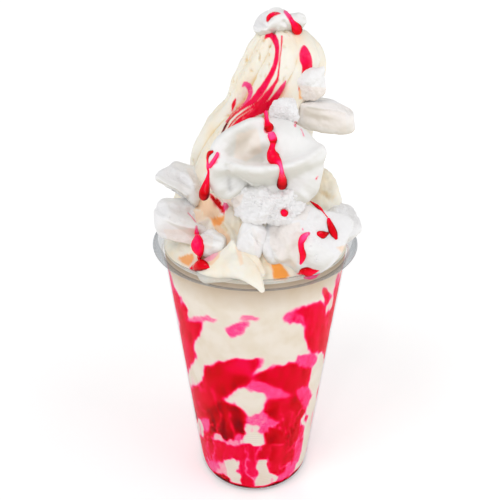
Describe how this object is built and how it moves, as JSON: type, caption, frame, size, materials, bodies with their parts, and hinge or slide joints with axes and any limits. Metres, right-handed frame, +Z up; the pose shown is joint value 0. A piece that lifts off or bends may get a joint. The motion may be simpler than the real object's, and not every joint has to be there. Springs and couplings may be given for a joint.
{
  "type": "eton mess ice cream sundae",
  "caption": "Clear plastic cup heaped with vanilla soft serve, a leaning fluted swirl, broken meringue pieces and glossy berry sauce drips.",
  "frame": {"origin": "middle of the cup's foot, on the surface that it stands on", "axes": "+Z up along the cup's axis, -Y towards the front that the picture shows, +X to the right"},
  "size_m": [0.098, 0.1, 0.2415],
  "materials": {
    "clear_plastic": "clear, glossy",
    "soft_serve": "soft satin, slightly wet",
    "meringue": "matt, crumbly where broken",
    "berry_sauce": "wet, glossy, translucent"
  },
  "bodies": {
    "root": {"cup": "clear_plastic", "sauce_pool": "berry_sauce", "soft_serve_fill": "soft_serve", "soft_serve_swirl": "soft_serve", "soft_serve_tongue": "soft_serve", "meringue_dome": "meringue", "meringue_chunk_right": "meringue", "meringue_crumbly": "meringue", "meringue_left_upper": "meringue", "meringue_left_lower": "meringue", "meringue_far_right": "meringue", "meringue_front_small": "meringue", "meringue_front_left": "meringue", "meringue_stick": "meringue", "meringue_crumb_mid": "meringue", "meringue_side_chip": "meringue", "meringue_back_left": "meringue", "meringue_back_right": "meringue", "meringue_back_high": "meringue", "meringue_cap": "meringue"}
  },
  "joints": []
}
